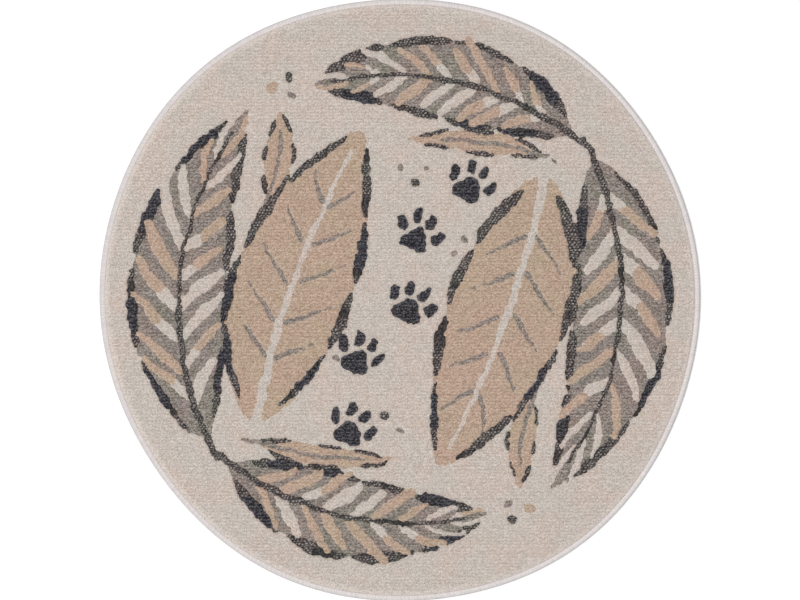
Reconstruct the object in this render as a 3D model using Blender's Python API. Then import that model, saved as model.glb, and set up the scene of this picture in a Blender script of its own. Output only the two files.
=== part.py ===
"""A round woven pile rug for a child's room, lying flat, with its edge bound in yarn.

The rug is one flat piece of carpet. Its cut pile stands above a lower, flat-woven ground,
which shows as hollows: the slits between a frond's leaflets, a broad leaf's veins, and the
broken line round a broad leaf. Metres, +Z up, the underside's middle at the origin.
"""

import math

import bmesh
import bpy
from mathutils import Vector

# The rug
DIAMETER = 1.200  # over the binding, before the edge wanders
PILE_TOP = 0.0097  # the cut pile's tips, above the floor
GROUND_TOP = 0.0067  # the flat-woven ground
LINE_TOP = 0.0080  # the loops that draw a broad leaf's line

# The cloth edge that the binding wraps, and the binding
GAP = 0.0003
BINDING_REACH = 0.0112  # how far the binding comes in from the edge
BINDING_HEIGHT = 0.0068
YARN_UNDER = 0.0012  # thickness of the binding below, above and outside the cloth
YARN_OVER = 0.0014
YARN_OUTSIDE = 0.0022
BINDING_ARC_STEPS = 6
BINDING_LIP_RUN, BINDING_LIP_DROP = 0.0014, 0.0006  # the top's slope down to its inner edge
TONGUE_BOTTOM = YARN_UNDER + GAP
TONGUE_TOP = BINDING_HEIGHT - YARN_OVER - GAP
EDGE_SEGMENTS = 120

# How the edge wanders off a true circle: waves in a turn, height, and where one peaks
WANDER = (
    {"waves": 2, "height": 0.0040, "peak_deg": -62},
    {"waves": 3, "height": 0.0023, "peak_deg": 37},
    {"waves": 4, "height": 0.0018, "peak_deg": -38},
    {"waves": 6, "height": 0.0020, "peak_deg": 6},
)

# The pile's rounded shoulder beside the binding, from the cloth edge up to the top
SHOULDER = (
    {"inset": BINDING_REACH + GAP, "height": TONGUE_TOP},
    {"inset": 0.0125, "height": 0.0073},
    {"inset": 0.0150, "height": 0.0088},
    {"inset": 0.0200, "height": 0.0095},
    {"inset": 0.0280, "height": PILE_TOP},
)

# One sprig of three leaves. The other is the same sprig turned half way round.
SPRIG = (
    {"kind": "frond", "base": (-0.385, -0.275), "tip": (-0.300, 0.375), "bend": 0.145, "half_width": 0.095},
    {"kind": "frond", "base": (-0.335, -0.330), "tip": (0.175, -0.425), "bend": -0.115, "half_width": 0.078},
    {"kind": "broad", "base": (-0.285, -0.235), "tip": (-0.075, 0.335), "bend": 0.040, "half_width": 0.118},
)
SPRIG_TURNS_DEG = (0, 180)
LEAF_BELLY = 0.85  # under 1 puts a leaf's widest place nearer its tip
LEAF_FULLNESS = 0.80

# Along a leaf 0 is its base and 1 its tip. Across it 0 is the midrib and 1 its edge.
LEAFLET_PAIRS = 9
LEAFLETS_FROM, LEAFLETS_TO = 0.05, 0.89
LEAFLET_SWEEP = 0.15  # how far a leaflet leans towards the tip on its way out
LEAF_END = 0.985  # no mark runs nearer the tip
SLIT_FROM, SLIT_TO = 0.22, 0.94
SLIT_HALF_SHARES = (0.025, 0.080, 0.140, 0.120)  # of the leaflets' pitch, from the midrib out
SLENDER_TO = 0.92  # slits narrow towards the tip as far as this
VEIN_PAIRS = 5
VEINS_FROM, VEINS_TO = 0.10, 0.78
VEIN_FROM, VEIN_TO = 0.12, 0.76
VEIN_HALF_WIDTHS = (0.0050, 0.0042, 0.0030, 0.0014)
LINE_DASHES = 4
LINE_FROM, LINE_TO = 0.03, 0.97
LINE_BREAK = 0.035
LINE_HALF_WIDTHS = (0.0028, 0.0058, 0.0070, 0.0072, 0.0066, 0.0054, 0.0026)

# How far a hand-drawn mark strays: its start as a share of the pitch, its reach, its width
START_STRAY = 0.12
SLIT_REACH_STRAY = 0.05
VEIN_REACH_STRAY = 0.07
SLIT_WIDTH_STRAY = 0.18
DASH_STRAY = 0.012
SIDE_STEP, REACH_STEP, WIDTH_STEP = 40, 7, 13  # keep one mark's strays apart from another's

CUTTER_ABOVE = 0.002  # how far a cutter stands out of the pile

# Colours, 0 to 1 in linear light
CREAM = (0.55, 0.48, 0.42)
GREIGE = (0.26, 0.22, 0.20)
CHARCOAL_MIX = (0.14, 0.12, 0.11)
BINDING_PALE = (0.70, 0.66, 0.63)


def uneven(number):
    """A fixed value from -1 to 1 for each whole number, so that no two hand-drawn marks match."""
    return (math.sin(number * 12.9898) * 43758.5453) % 2.0 - 1.0


def edge_point(angle, inset, height):
    """A point at an angle round the rug, a distance in from its finished edge."""
    wander = sum(
        wave["height"] * math.cos(wave["waves"] * (angle - math.radians(wave["peak_deg"])))
        for wave in WANDER
    )
    radius = DIAMETER / 2 + wander - inset
    return Vector((radius * math.cos(angle), radius * math.sin(angle), height))


def add_rings(mesh, section):
    """One ring of vertices round the rug for each (inset, height) of a section."""
    angles = [2 * math.pi * step / EDGE_SEGMENTS for step in range(EDGE_SEGMENTS)]
    return [
        [mesh.verts.new(edge_point(angle, inset, height)) for angle in angles]
        for inset, height in section
    ]


def bridge(mesh, lower, upper):
    """Quads between two rings with the same count of vertices."""
    for step, corner in enumerate(lower):
        following = (step + 1) % len(lower)
        mesh.faces.new((corner, lower[following], upper[following], upper[step]))


def finish_mesh(name, mesh, material, smooth_under_deg=40):
    """Turns a bmesh into a named object with its faces outwards."""
    bmesh.ops.recalc_face_normals(mesh, faces=mesh.faces)
    data = bpy.data.meshes.new(name)
    mesh.to_mesh(data)
    mesh.free()
    data.materials.append(material)
    data.shade_smooth()
    data.set_sharp_from_angle(angle=math.radians(smooth_under_deg))
    shape = bpy.data.objects.new(name, data)
    bpy.context.scene.collection.objects.link(shape)
    return shape


def fabric(name, colour, roughness):
    material = bpy.data.materials.new(name)
    material.use_nodes = True
    shader = material.node_tree.nodes["Principled BSDF"]
    shader.inputs["Base Color"].default_value = (*colour, 1.0)
    shader.inputs["Roughness"].default_value = roughness
    shader.inputs["Metallic"].default_value = 0.0
    return material


def leaf_point(leaf, along, across):
    """A point of a leaf whose midrib bends in a shallow arc from its base to its tip."""
    base = Vector(leaf["base"])
    chord = Vector(leaf["tip"]) - base
    forward = chord.normalized()
    sideways = Vector((-forward.y, forward.x))
    bow = leaf["bend"] * chord.length * 4 * along * (1 - along)
    slope = math.atan(leaf["bend"] * 4 * (1 - 2 * along))
    inside = min(max(along, 0.0), 1.0)
    width = leaf["half_width"] * math.sin(math.pi * inside**LEAF_BELLY) ** LEAF_FULLNESS
    out = sideways * math.cos(slope) - forward * math.sin(slope)
    return base + chord * along + sideways * bow + out * (width * across)


def turned(leaf, degrees):
    """The same leaf turned about the rug's middle."""
    copy = dict(leaf)
    for end in ("base", "tip"):
        x, y = leaf[end]
        cosine = math.cos(math.radians(degrees))
        sine = math.sin(math.radians(degrees))
        copy[end] = (x * cosine - y * sine, x * sine + y * cosine)
    return copy


def stroke(path, half_widths):
    """The outline of a brush stroke along a path, with rounded ends, counter-clockwise."""
    right, left = [], []
    for index, (point, half) in enumerate(zip(path, half_widths)):
        before = path[max(index - 1, 0)]
        after = path[min(index + 1, len(path) - 1)]
        run = (after - before).normalized()
        normal = Vector((-run.y, run.x)) * half
        right.append(point - normal)
        left.append(point + normal)
    start = path[0] - (path[1] - path[0]).normalized() * half_widths[0]
    end = path[-1] + (path[-1] - path[-2]).normalized() * half_widths[-1]
    return [start, *right, end, *reversed(left)]


def sweep_path(leaf, start, side, reach_from, reach_to, count):
    """A path from the midrib outwards that leans towards the leaf's tip."""
    path = []
    for step in range(count):
        reach = reach_from + (reach_to - reach_from) * step / (count - 1)
        along = min(start + LEAFLET_SWEEP * reach, LEAF_END)
        path.append(leaf_point(leaf, along, side * reach))
    return path


def frond_slits(leaf, seed):
    """The hollows between a frond's leaflets."""
    marks = []
    step = (LEAFLETS_TO - LEAFLETS_FROM) / LEAFLET_PAIRS
    pitch = step * (Vector(leaf["tip"]) - Vector(leaf["base"])).length
    for side in (-1, 1):
        for pair in range(1, LEAFLET_PAIRS):
            number = seed + SIDE_STEP * side + pair
            start = LEAFLETS_FROM + step * (pair + START_STRAY * uneven(number))
            reach = SLIT_TO + SLIT_REACH_STRAY * uneven(number + REACH_STEP)
            swell = 1.0 + SLIT_WIDTH_STRAY * uneven(number + WIDTH_STEP)
            slender = math.sqrt(math.sin(math.pi * min(start + LEAFLET_SWEEP, SLENDER_TO)))
            halves = [pitch * share * swell * slender for share in SLIT_HALF_SHARES]
            path = sweep_path(leaf, start, side, SLIT_FROM, reach, len(halves))
            marks.append(stroke(path, halves))
    return marks


def broad_veins(leaf, seed):
    """The grooves of a broad leaf's side veins."""
    marks = []
    step = (VEINS_TO - VEINS_FROM) / VEIN_PAIRS
    for side in (-1, 1):
        for pair in range(VEIN_PAIRS):
            number = seed + SIDE_STEP * side + pair
            start = VEINS_FROM + step * (pair + 0.5 + START_STRAY * uneven(number))
            reach = VEIN_TO + VEIN_REACH_STRAY * uneven(number + REACH_STEP)
            path = sweep_path(leaf, start, side, VEIN_FROM, reach, len(VEIN_HALF_WIDTHS))
            marks.append(stroke(path, VEIN_HALF_WIDTHS))
    return marks


def broad_line(leaf, seed):
    """The broken line that runs round a broad leaf."""
    marks = []
    length = (LINE_TO - LINE_FROM) / LINE_DASHES
    last = len(LINE_HALF_WIDTHS) - 1
    for side in (-1, 1):
        for dash in range(LINE_DASHES):
            slip = DASH_STRAY * uneven(seed + SIDE_STEP * side + dash)
            start = LINE_FROM + length * dash + LINE_BREAK / 2 + slip
            run = length - LINE_BREAK
            path = [leaf_point(leaf, start + run * step / last, side) for step in range(last + 1)]
            marks.append(stroke(path, LINE_HALF_WIDTHS))
    return marks


def leaves():
    """Every leaf on the rug, each with a number of its own for its unevenness."""
    placed = [turned(leaf, degrees) for degrees in SPRIG_TURNS_DEG for leaf in SPRIG]
    return [(leaf, 100 * (index + 1)) for index, leaf in enumerate(placed)]


def make_cutter(name, outlines, floor, material):
    """One guide that holds a prism for each mark, from the hollow's floor up past the pile."""
    mesh = bmesh.new()
    for outline in outlines:
        low = [mesh.verts.new((point.x, point.y, floor)) for point in outline]
        high = [mesh.verts.new((point.x, point.y, PILE_TOP + CUTTER_ABOVE)) for point in outline]
        mesh.faces.new(list(reversed(low)))
        mesh.faces.new(high)
        bridge(mesh, low, high)
    cutter = finish_mesh(name, mesh, material)
    cutter.hide_render = True
    cutter.display_type = "WIRE"
    return cutter


def make_carpet(material):
    """The rug itself: underside, step for the binding, cloth edge, pile shoulder and top."""
    tongue_inset = YARN_OUTSIDE + GAP
    section = (
        (BINDING_REACH + GAP, 0.0),
        (BINDING_REACH + GAP, TONGUE_BOTTOM),
        (tongue_inset, TONGUE_BOTTOM),
        (tongue_inset, TONGUE_TOP),
        *((row["inset"], row["height"]) for row in SHOULDER),
    )
    mesh = bmesh.new()
    rings = add_rings(mesh, section)
    mesh.faces.new(list(reversed(rings[0])))
    for lower, upper in zip(rings, rings[1:]):
        bridge(mesh, lower, upper)
    mesh.faces.new(rings[-1])
    return finish_mesh("rug_carpet", mesh, material)


def make_binding(material):
    """The yarn binding: a channel that laps over and under the cloth edge, round outside."""
    radius = BINDING_HEIGHT / 2
    section = [(BINDING_REACH, 0.0)]
    for step in range(BINDING_ARC_STEPS + 1):
        angle = math.pi * step / BINDING_ARC_STEPS
        section.append((radius - radius * math.sin(angle), radius - radius * math.cos(angle)))
    section += [
        (BINDING_REACH - BINDING_LIP_RUN, BINDING_HEIGHT),
        (BINDING_REACH, BINDING_HEIGHT - BINDING_LIP_DROP),
        (BINDING_REACH, BINDING_HEIGHT - YARN_OVER),
        (YARN_OUTSIDE, BINDING_HEIGHT - YARN_OVER),
        (YARN_OUTSIDE, YARN_UNDER),
        (BINDING_REACH, YARN_UNDER),
    ]
    mesh = bmesh.new()
    rings = add_rings(mesh, section)
    for lower, upper in zip(rings, rings[1:] + rings[:1]):
        bridge(mesh, lower, upper)
    return finish_mesh("edge_binding", mesh, material)


def carve(shape, cutter):
    """Sinks the cutter's prisms into the pile."""
    cut = shape.modifiers.new("carve_" + cutter.name, "BOOLEAN")
    cut.operation = "DIFFERENCE"
    cut.solver = "EXACT"
    cut.material_mode = "TRANSFER"
    cut.object = cutter


def clear_scene():
    for shape in list(bpy.data.objects):
        bpy.data.objects.remove(shape, do_unlink=True)


def main():
    clear_scene()
    carpet = make_carpet(fabric("pile_cream", CREAM, 0.95))
    make_binding(fabric("binding_yarn", BINDING_PALE, 0.80))
    ground_marks, line_marks = [], []
    for leaf, seed in leaves():
        if leaf["kind"] == "frond":
            ground_marks += frond_slits(leaf, seed)
        else:
            ground_marks += broad_veins(leaf, seed)
            line_marks += broad_line(leaf, seed)
    ground = fabric("ground_greige", GREIGE, 0.90)
    line = fabric("line_charcoal", CHARCOAL_MIX, 0.90)
    carve(carpet, make_cutter("ground_hollows", ground_marks, GROUND_TOP, ground))
    carve(carpet, make_cutter("line_hollows", line_marks, LINE_TOP, line))


main()
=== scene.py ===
# A round woven pile rug, leaves and paw prints in its pile, lying flat on a pale floor.
import math

import bpy
import numpy as np
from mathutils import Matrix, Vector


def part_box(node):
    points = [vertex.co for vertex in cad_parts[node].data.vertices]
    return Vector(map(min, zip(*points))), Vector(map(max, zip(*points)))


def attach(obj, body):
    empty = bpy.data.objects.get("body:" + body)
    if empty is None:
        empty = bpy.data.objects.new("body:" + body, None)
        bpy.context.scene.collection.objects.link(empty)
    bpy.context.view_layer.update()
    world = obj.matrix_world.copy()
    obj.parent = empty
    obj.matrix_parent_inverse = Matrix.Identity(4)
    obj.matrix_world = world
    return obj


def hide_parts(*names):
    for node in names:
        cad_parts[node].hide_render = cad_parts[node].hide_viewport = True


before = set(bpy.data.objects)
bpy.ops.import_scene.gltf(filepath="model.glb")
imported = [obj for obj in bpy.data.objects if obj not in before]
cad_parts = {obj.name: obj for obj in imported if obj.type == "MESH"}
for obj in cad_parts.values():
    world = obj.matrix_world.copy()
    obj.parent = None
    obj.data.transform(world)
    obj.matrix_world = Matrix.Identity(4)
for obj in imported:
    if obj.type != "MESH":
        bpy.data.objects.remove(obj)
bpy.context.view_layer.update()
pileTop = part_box("rug_carpet")[1].z
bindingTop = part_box("edge_binding")[1].z

rugEdge = {
    "radius": 0.600,
    "waves": (  # slow ones along the edge: how many in a turn, how high, and where one peaks, in degrees
        (2, 0.0040, -62),
        (3, 0.0023, 37),
        (4, 0.0018, -38),
        (6, 0.0020, 6),
    ),
}


def edgeRadius(angle):
    radius = rugEdge["radius"]
    for count, height, peak in rugEdge["waves"]:
        radius = radius + height * np.cos(count * (angle - math.radians(peak)))
    return radius


def insetOf(x, y):
    # how far a place lies inside the rug's edge
    return edgeRadius(np.arctan2(y, x)) - np.hypot(x, y)


# Objects and meshes

def linkObject(name, data):
    thing = bpy.data.objects.new(name, data)
    bpy.context.scene.collection.objects.link(thing)
    return thing


def linkMesh(name, mesh, material):
    mesh.materials.append(material)
    piece = linkObject(name, mesh)
    return piece


def quadMesh(name, points, quads):
    mesh = bpy.data.meshes.new(name)
    mesh.vertices.add(len(points))
    mesh.vertices.foreach_set("co", np.asarray(points, np.float32).ravel())
    mesh.loops.add(4 * len(quads))
    mesh.loops.foreach_set("vertex_index", np.asarray(quads, np.int32).ravel())
    mesh.polygons.add(len(quads))
    mesh.polygons.foreach_set("loop_start", np.arange(0, 4 * len(quads), 4, dtype=np.int32))
    mesh.update(calc_edges=True)
    mesh.shade_smooth()
    return mesh


def ringPoints(inset, height, count):
    # points once round the rug, this far inside its edge
    angles = np.linspace(0, 2 * math.pi, count, endpoint=False)
    radius = edgeRadius(angles) - inset
    return np.column_stack([radius * np.cos(angles), radius * np.sin(angles), np.full(count, height)])


def ringQuads(pairs, count):
    # the faces between two rings of points, for each pair of ring numbers
    here = np.arange(count)
    after = np.roll(here, -1)
    quads = []
    for low, high in pairs:
        corners = (low * count + here, low * count + after, high * count + after, high * count + here)
        quads.append(np.column_stack(corners))
    return np.concatenate(quads)


def writeTones(mesh, values):
    # how light the yarn is at each corner of a face, 0 to 1, for its material
    tone = mesh.attributes.new("tuft", "FLOAT_COLOR", "CORNER")
    colours = np.column_stack([values, values, values, np.ones(len(values))])
    tone.data.foreach_set("color", colours.astype(np.float32).ravel())


def readAll(items, field, kind, size=1):
    values = np.zeros(size * len(items), kind)
    items.foreach_get(field, values)
    return values


# Node helpers

def setInputs(tree, node, inputs):
    # each input is wired to another node's output or set to a value
    for name, given in inputs.items():
        if isinstance(given, bpy.types.NodeSocket):
            tree.links.new(given, node.inputs[name])
        else:
            node.inputs[name].default_value = given


def addNode(tree, kind, inputs, **settings):
    # settings come first, as some of them change which inputs there are
    node = tree.nodes.new(kind)
    for setting, value in settings.items():
        setattr(node, setting, value)
    setInputs(tree, node, inputs)
    return node.outputs


def addGroup(treeKind, treeName, inputs, outputs):
    # a node tree with its inputs and outputs, each given with the kind of its socket
    tree = bpy.data.node_groups.new(treeName, treeKind + "NodeTree")
    for direction, sockets in (("INPUT", inputs), ("OUTPUT", outputs)):
        for name, kind in sockets.items():
            tree.interface.new_socket(name=name, in_out=direction, socket_type="NodeSocket" + kind)
    return tree, tree.nodes.new("NodeGroupInput").outputs, tree.nodes.new("NodeGroupOutput")


def addNoise(tree, vector, scale, detail=2.0, roughness=0.5):
    inputs = {"Vector": vector, "Scale": scale, "Detail": detail, "Roughness": roughness}
    return addNode(tree, "ShaderNodeTexNoise", inputs)


def addRange(tree, value, fromLow, fromHigh, toLow=0.0, toHigh=1.0):
    inputs = {"Value": value, "From Min": fromLow, "From Max": fromHigh, "To Min": toLow, "To Max": toHigh}
    return addNode(tree, "ShaderNodeMapRange", inputs)["Result"]


def spreadNoise(tree, noise, low, high):
    # noise keeps mostly to its middle, and that part is spread over the range
    return addRange(tree, noise, 0.3, 0.7, low, high)


def addMath(tree, operation, first, second):
    return addNode(tree, "ShaderNodeMath", {0: first, 1: second}, operation=operation)["Value"]


def addVectorMath(tree, operation, first, second):
    other = "Scale" if operation == "SCALE" else 1
    return addNode(tree, "ShaderNodeVectorMath", {0: first, other: second}, operation=operation)["Vector"]


def addMix(tree, factor, first, second, blend="MIX"):
    inputs = {0: factor, 6: first, 7: second}
    return addNode(tree, "ShaderNodeMix", inputs, data_type="RGBA", blend_type=blend)[2]


def addWander(tree, place, noise, distance):
    # the place moved aside by smooth noise
    offset = addVectorMath(tree, "SUBTRACT", noise["Color"], (0.5, 0.5, 0.5))
    return addVectorMath(tree, "ADD", place, addVectorMath(tree, "SCALE", offset, distance))


def fromScreenTone(red, green, blue):
    # a colour as the eye sees it, 0 to 255, into linear light
    return *(((tone / 255 + 0.055) / 1.055) ** 2.4 for tone in (red, green, blue)), 1.0


# Yarn: two node groups, then the materials that share them

yarnLook = {
    "patches": {"near": 17.0, "far": 2.6, "farSway": 0.07, "coolest": 0.36, "middle": 0.50, "warmest": 0.64},
    "fibre": {"scale": 2600.0, "dark": 0.76, "light": 1.22},
    "tufts": {"bendScale": 420.0, "bend": 0.0022, "smooth": 0.36, "random": 0.72, "full": 0.16, "gap": 0.58},
}


def makeYarnTone():
    # one yarn's colour over the rug: light and dark, in soft patches, and along its fibres
    colours = {"Main": "Color", "Light": "Color", "Shade": "Color", "Warm": "Color", "Cool": "Color"}
    inputs = {"Vector": "Vector", "Tone": "Float", **colours, "Patches": "Float"}
    tree, given, put = addGroup("Shader", "yarnTone", inputs, {"Color": "Color", "Height": "Float"})
    patches, fibre = yarnLook["patches"], yarnLook["fibre"]
    near = addNoise(tree, given["Vector"], patches["near"], 2.0, 0.45)["Fac"]
    far = addNoise(tree, given["Vector"], patches["far"], 1.0)["Fac"]
    sway = spreadNoise(tree, far, -patches["farSway"], patches["farSway"])
    patch = addMath(tree, "ADD", near, sway)
    colour = given["Main"]
    for most, tint in ((patches["warmest"], "Warm"), (patches["coolest"], "Cool")):
        share = addRange(tree, patch, patches["middle"], most)
        colour = addMix(tree, addMath(tree, "MULTIPLY", share, given["Patches"]), colour, given[tint])
    colour = addMix(tree, addRange(tree, given["Tone"], 0.0, 0.5, 1.0, 0.0), colour, given["Shade"])
    colour = addMix(tree, addRange(tree, given["Tone"], 0.5, 1.0), colour, given["Light"])
    strands = addNoise(tree, given["Vector"], fibre["scale"], 3.0, 0.75)["Fac"]
    grain = spreadNoise(tree, strands, fibre["dark"], fibre["light"])
    setInputs(tree, put, {"Color": addVectorMath(tree, "SCALE", colour, grain), "Height": strands})
    return tree


def makeTuftCells():
    # round tufts in uneven rows: Top falls from 1 to 0 in the gaps, and each has a Tone
    inputs = {"Vector": "Vector", "Per Metre": "Vector"}
    tree, given, put = addGroup("Shader", "tuftCells", inputs, {"Top": "Float", "Tone": "Float"})
    tufts = yarnLook["tufts"]
    bend = addNoise(tree, given["Vector"], tufts["bendScale"], 5.0, 0.62)
    moved = addWander(tree, given["Vector"], bend, tufts["bend"])
    place = addVectorMath(tree, "MULTIPLY", moved, given["Per Metre"])
    inputs = {"Vector": place, "Scale": 1.0, "Smoothness": tufts["smooth"], "Randomness": tufts["random"]}
    cells = addNode(tree, "ShaderNodeTexVoronoi", inputs, voronoi_dimensions="2D", feature="SMOOTH_F1")
    single = addNode(tree, "ShaderNodeSeparateColor", {"Color": cells["Color"]})
    top = addRange(tree, cells["Distance"], tufts["full"], tufts["gap"], 1.0, 0.0)
    setInputs(tree, put, {"Top": top, "Tone": single["Red"]})
    return tree


yarnTone = makeYarnTone()
tuftCells = makeTuftCells()


def startMaterial(name, inputs):
    material = bpy.data.materials.new(name)
    material.use_nodes = True
    shader = material.node_tree.nodes["Principled BSDF"]
    setInputs(material.node_tree, shader, inputs)
    return material, material.node_tree, shader


def addPlace(tree):
    return addNode(tree, "ShaderNodeTexCoord", {})["Object"]


def addTone(tree):
    return addNode(tree, "ShaderNodeAttribute", {}, attribute_name="tuft")["Fac"]


def addRelief(tree, height, look):
    inputs = {"Height": height, "Strength": look["relief"], "Distance": look["reliefDepth"]}
    return addNode(tree, "ShaderNodeBump", inputs)["Normal"]


def finishYarn(tree, shader, place, tone, shape, shade, yarn, look):
    # the yarn's colours darkened by a painted shade, and its fibres standing out on its shape
    inputs = {"Vector": place, "Tone": tone, "Patches": yarn["patches"]}
    for name in ("Main", "Light", "Shade", "Warm", "Cool"):
        inputs[name] = fromScreenTone(*yarn[name.lower()])
    toned = addNode(tree, "ShaderNodeGroup", inputs, node_tree=yarnTone)
    shaded = addMix(tree, 1.0, toned["Color"], shade, "MULTIPLY")
    fibres = addMath(tree, "MULTIPLY", toned["Height"], look["fibreRelief"])
    relief = addRelief(tree, addMath(tree, "ADD", shape, fibres), look)
    setInputs(tree, shader, {"Base Color": shaded, "Normal": relief})


pileLook = {
    "shader": {"Roughness": 0.92, "Specular IOR Level": 0.18, "Sheen Roughness": 0.5},
    "tuftTopPaintedLight": 1.06, "fibreRelief": 1.2, "relief": 0.7, "reliefDepth": 0.0007,
}


def makePileYarn(yarn):
    inputs = pileLook["shader"] | {"Sheen Weight": yarn["sheen"]}
    material, tree, shader = startMaterial(yarn["name"], inputs)
    place = addPlace(tree)
    across, up = yarn["tuftSize"]
    inputs = {"Vector": place, "Per Metre": (1 / across, 1 / up, 1.0)}
    cells = addNode(tree, "ShaderNodeGroup", inputs, node_tree=tuftCells)
    spread = yarn["tuftSpread"] / 2
    tone = addMath(tree, "ADD", addTone(tree), addRange(tree, cells["Tone"], 0.0, 1.0, -spread, spread))
    # painted shade: the yarn is darker in the gaps between tufts and a little lighter on their tops
    shade = addRange(tree, cells["Top"], 0.0, 1.0, yarn["gapPaintedShade"], pileLook["tuftTopPaintedLight"])
    finishYarn(tree, shader, place, tone, cells["Top"], shade, yarn, pileLook)
    return material


twistLook = {
    "shader": {"Roughness": 0.78, "Specular IOR Level": 0.2},
    "plyGapPaintedShade": 0.93, "plyTopPaintedLight": 1.03, "fibreRelief": 0.8, "relief": 0.6, "reliefDepth": 0.0003,
}


def makeBindingYarn(yarn):
    # twisted yarn: the piece's own map runs along a stitch and once round it
    inputs = twistLook["shader"] | {"Sheen Weight": yarn["sheen"]}
    material, tree, shader = startMaterial(yarn["name"], inputs)
    along = addNode(tree, "ShaderNodeUVMap", {}, uv_map="yarnTwist")["UV"]
    inputs = {"Vector": along, "Scale": math.pi / 5, "Distortion": 0.0}  # one ply to each unit of the map
    plies = addNode(tree, "ShaderNodeTexWave", inputs, bands_direction="DIAGONAL")["Fac"]
    # painted shade in the grooves between the plies, painted light on their crowns
    shade = addRange(tree, plies, 0.0, 1.0, twistLook["plyGapPaintedShade"], twistLook["plyTopPaintedLight"])
    finishYarn(tree, shader, addPlace(tree), addTone(tree), plies, shade, yarn, twistLook)
    return material


# The tuft grid: a cell is a tuft of yarn, and a zone says which yarn it is woven in

grid = {
    "pitch": 0.00215,
    "reach": 0.612,
    "rowShift": 0.25,  # odd rows sit this share of a tuft to one side
    "edgeInset": 0.006,  # the cloth runs on under the binding as far as this
    "borderInset": 0.080,  # cream outside this is a piece of its own
    "ragged": 0.0017,  # how far one tuft may stray over the line between two yarns
    "leastBeside": 2, "settlings": 2,  # tufts with fewer of their own yarn beside them don't stay
    "seed": 41,
}
cream, tan, ground, loops, charcoal = range(5)

rng = np.random.default_rng(grid["seed"])
pitch = grid["pitch"]
tuftCount = 2 * math.ceil(grid["reach"] / pitch)
cornerCount = tuftCount + 1
cornerLine = (np.arange(cornerCount) - tuftCount / 2) * pitch
tuftX, tuftY = np.meshgrid(cornerLine[:-1] + pitch / 2, cornerLine[:-1] + pitch / 2)
zoneMap = np.full(tuftX.shape, cream)
patternFrom = 0.7  # patterns start this far left of and below the middle


def lumps(x, y, size, seed):
    # smooth noise from -1 to 1 with one lump in each size metres
    count = int(2 * patternFrom / size) + 4
    values = np.random.default_rng(seed).uniform(-1, 1, (count, count))
    across, up = (x + patternFrom) / size, (y + patternFrom) / size
    column = np.floor(across).astype(int).clip(0, count - 2)
    row = np.floor(up).astype(int).clip(0, count - 2)
    right, above = across - column, up - row
    right, above = right * right * (3 - 2 * right), above * above * (3 - 2 * above)
    lower = values[row, column] * (1 - right) + values[row, column + 1] * right
    upper = values[row + 1, column] * (1 - right) + values[row + 1, column + 1] * right
    return lower * (1 - above) + upper * above


brush = {"slowStray": 0.0030, "slowSize": 0.030, "quickStray": 0.0026, "quickSize": 0.0075, "margin": 0.010}


def strayed(line, slowSeed, quickSeed):
    slow = brush["slowStray"] * lumps(tuftX, tuftY, brush["slowSize"], slowSeed)
    quick = brush["quickStray"] * lumps(tuftX, tuftY, brush["quickSize"], quickSeed)
    return line + slow + quick + grid["ragged"] * rng.uniform(-1, 1, line.shape)


brushX = strayed(tuftX, 3, 5)
brushY = strayed(tuftY, 4, 6)
frayed = rng.uniform(-1, 1, tuftX.shape)


def paintStroke(path, halves, zone, fray=0.0, over=None):
    # tufts within the half width of the path take the zone's yarn, at a frayed edge only some of them
    reach = max(halves) + brush["margin"] + fray
    alongX, alongY = zip(*path)
    columns = slice(*np.searchsorted(cornerLine, (min(alongX) - reach, max(alongX) + reach)))
    rows = slice(*np.searchsorted(cornerLine, (min(alongY) - reach, max(alongY) + reach)))
    x, y = brushX[rows, columns], brushY[rows, columns]
    nearest = np.full(x.shape, 1.0)
    for (startX, startY), (endX, endY), startHalf, endHalf in zip(path, path[1:], halves, halves[1:]):
        runX, runY = endX - startX, endY - startY
        share = ((x - startX) * runX + (y - startY) * runY) / max(runX * runX + runY * runY, 1e-12)
        share = share.clip(0, 1)
        away = np.hypot(x - startX - share * runX, y - startY - share * runY)
        nearest = np.minimum(nearest, away - (startHalf + (endHalf - startHalf) * share))
    reached = nearest < fray * frayed[rows, columns]
    if over is not None:
        reached &= zoneMap[rows, columns] == over
    zoneMap[rows, columns][reached] = zone


# Leaves, each painted along its own midrib

blade = {
    "belly": 0.85, "fullness": 0.80, "stations": 41,
    "sweep": 0.15,  # how far towards the tip a vein or leaflet runs on its way out
    "end": 0.985,
    "ribFrom": -0.06, "ribTo": 0.93, "ribStations": 12, "ribThinning": 0.65,
}


def uneven(number):
    return (math.sin(number * 12.9898) * 43758.5453) % 2.0 - 1.0  # a fixed value from -1 to 1


def numbered(count, seed):
    # the places down both sides of a leaf, each with a number of its own
    for side in (-1, 1):
        for place in range(count):
            yield side, place, seed + 40 * side + place


def leafPoint(leaf, along, across):
    # along runs 0 to 1 from base to tip, across is 0 on the midrib and 1 or -1 on an edge
    baseX, baseY = leaf["base"]
    chordX, chordY = leaf["tip"][0] - baseX, leaf["tip"][1] - baseY
    length = math.hypot(chordX, chordY)
    forwardX, forwardY = chordX / length, chordY / length
    bow = leaf["bend"] * length * 4 * along * (1 - along)
    slope = math.atan(leaf["bend"] * 4 * (1 - 2 * along))
    inside = min(max(along, 0.0), 1.0)
    width = leaf["halfWidth"] * math.sin(math.pi * inside ** blade["belly"]) ** blade["fullness"]
    outX = -forwardY * math.cos(slope) - forwardX * math.sin(slope)
    outY = forwardX * math.cos(slope) - forwardY * math.sin(slope)
    x = baseX + chordX * along - forwardY * bow + outX * width * across
    y = baseY + chordY * along + forwardX * bow + outY * width * across
    return x, y


def leafPath(leaf, start, end, count, across=0):
    return [leafPoint(leaf, along, across) for along in np.linspace(start, end, count)]


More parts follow.
